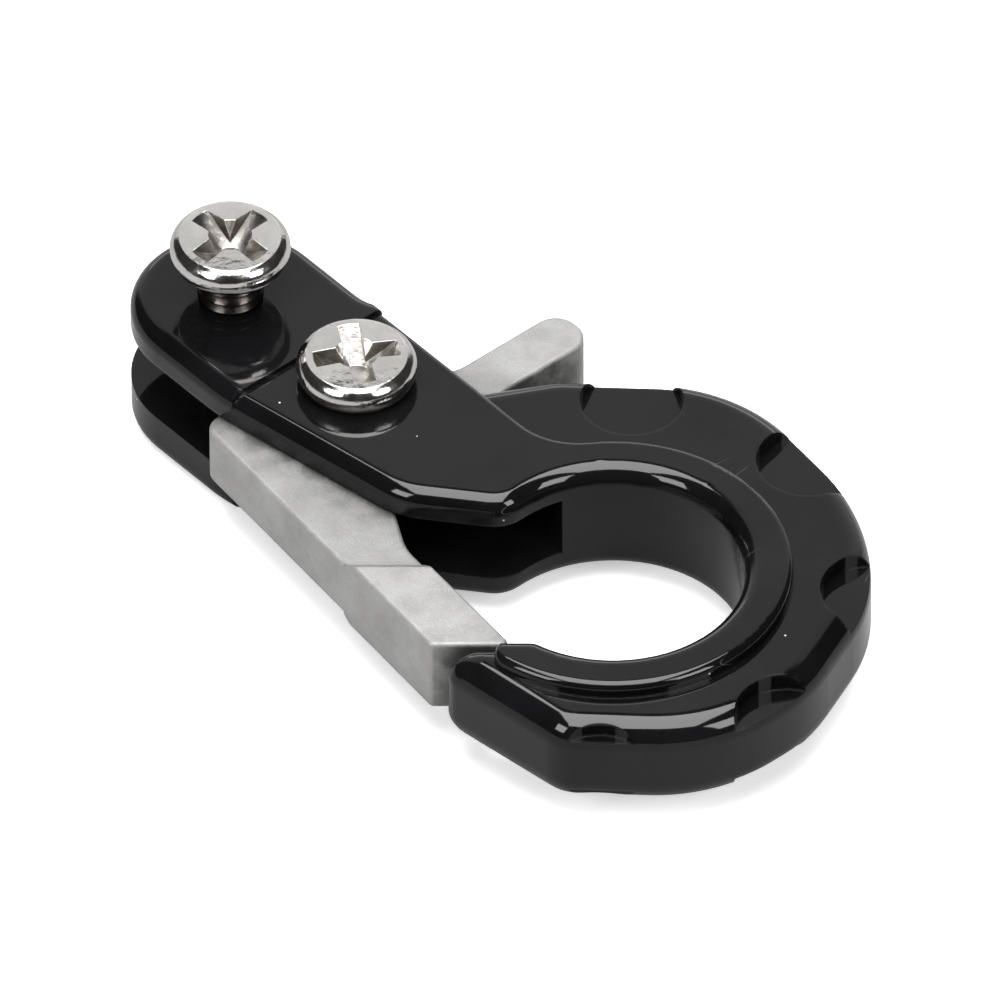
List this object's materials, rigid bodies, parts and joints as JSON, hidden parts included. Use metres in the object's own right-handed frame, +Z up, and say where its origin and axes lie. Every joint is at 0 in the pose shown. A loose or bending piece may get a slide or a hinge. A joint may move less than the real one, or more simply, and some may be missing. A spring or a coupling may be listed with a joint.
{
  "type": "safety chain hook",
  "caption": "Cast clevis hook with a round eye, side mouth, sprung cast latch with thumb tab, pivot screw and partly unscrewed chain pin screw.",
  "frame": {"origin": "centre of the hook's eye, half way through its thickness", "axes": "+X runs along the shank to the chain end, +Y points to the mouth and latch side, +Z is up through the eye towards the screw heads"},
  "size_m": [0.04, 0.0217, 0.0108],
  "materials": {
    "black_enamel": "thick gloss black enamel over a die casting",
    "raw_casting": "matte grainy as-cast grey metal",
    "nickel_plate": "bright nickel plate with fine machining marks",
    "spring_wire": "drawn spring wire"
  },
  "bodies": {
    "body": {"hook_body": "black_enamel", "pivot_screw": "nickel_plate", "latch_spring": "spring_wire"},
    "latch": {"latch": "raw_casting"},
    "chain_screw": {"chain_screw": "nickel_plate"}
  },
  "joints": [
    {"name": "latch_pivot", "type": "hinge", "parent": "body", "child": "latch", "pos_m": [0.01664, 0.00083, 0], "axis": [0, 0, 1], "range_deg": [0, 22], "stiffness_Nm_per_rad": 0.02, "springref_deg": -20.05, "deforming": ["latch_spring"]},
    {"name": "chain_screw_travel", "type": "slide", "parent": "body", "child": "chain_screw", "axis": [0, 0, 1], "range_m": [-0.002, 0.0024]}
  ]
}
